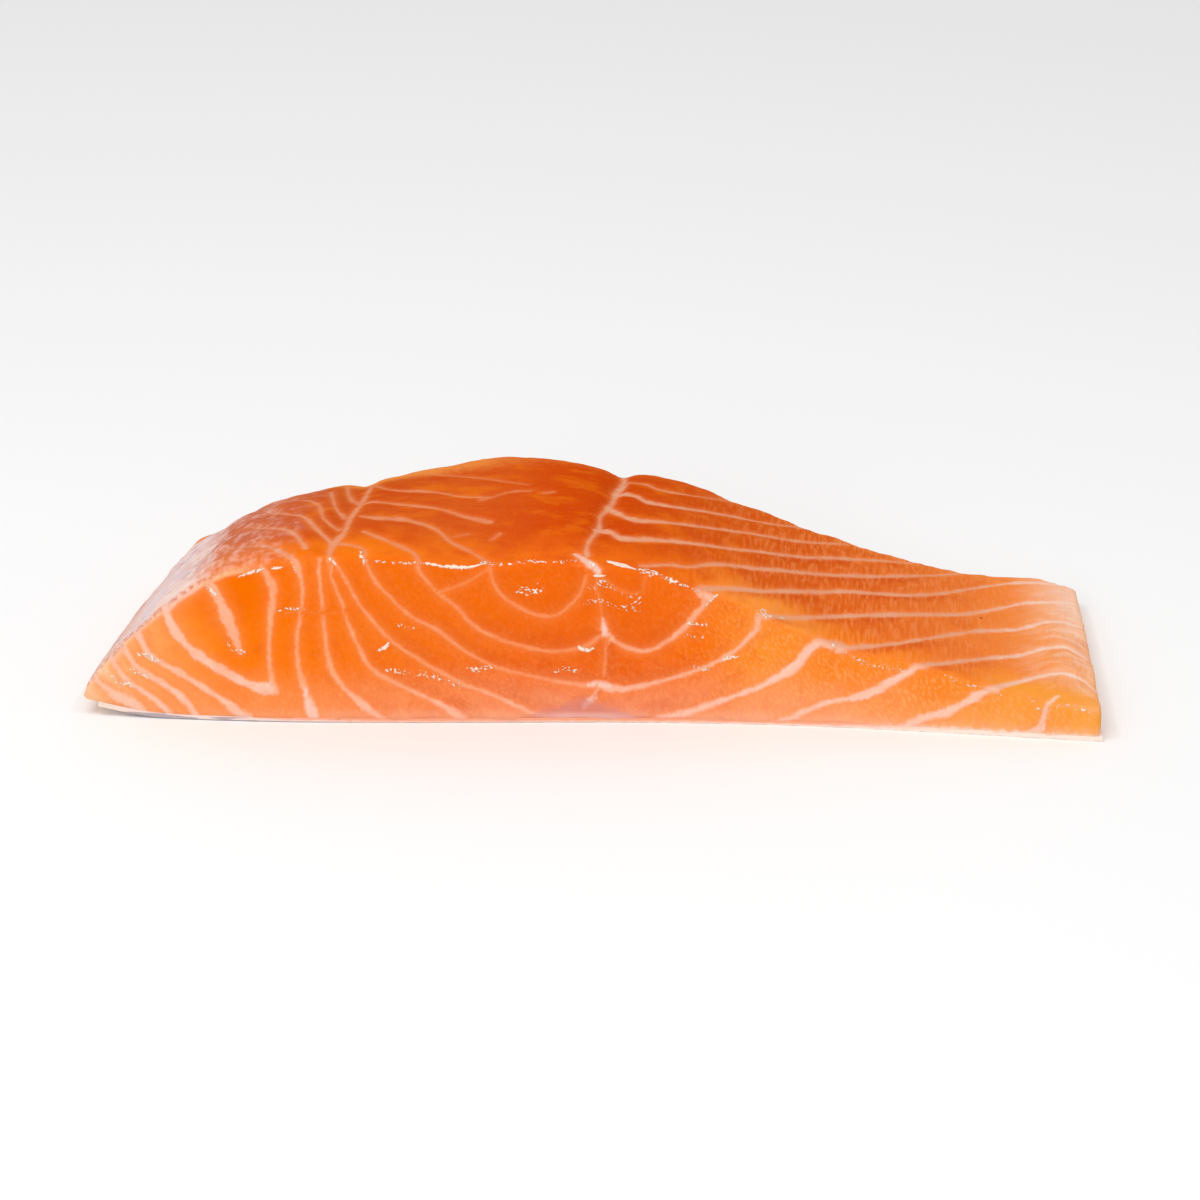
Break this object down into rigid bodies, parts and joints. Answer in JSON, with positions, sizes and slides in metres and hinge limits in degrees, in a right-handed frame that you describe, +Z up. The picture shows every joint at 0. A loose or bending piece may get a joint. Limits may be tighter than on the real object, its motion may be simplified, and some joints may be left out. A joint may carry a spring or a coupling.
{
  "type": "salmon portion",
  "caption": "Raw salmon portion with its skin on, a slab cut across one side of the fish, thick at the back edge and thin at the belly edge, lying skin side down.",
  "frame": {"origin": "centre of the footprint's box, at the face that the portion rests on", "axes": "+X towards the thin belly edge, +Y towards the rear cut, +Z up from the skin"},
  "size_m": [0.1572, 0.05, 0.0286],
  "materials": {
    "flesh": null,
    "skin": "thin wet fish skin, silver grey towards the back edge and pale towards the belly edge"
  },
  "bodies": {
    "root": {"flesh": "flesh", "skin": "skin"}
  },
  "joints": []
}
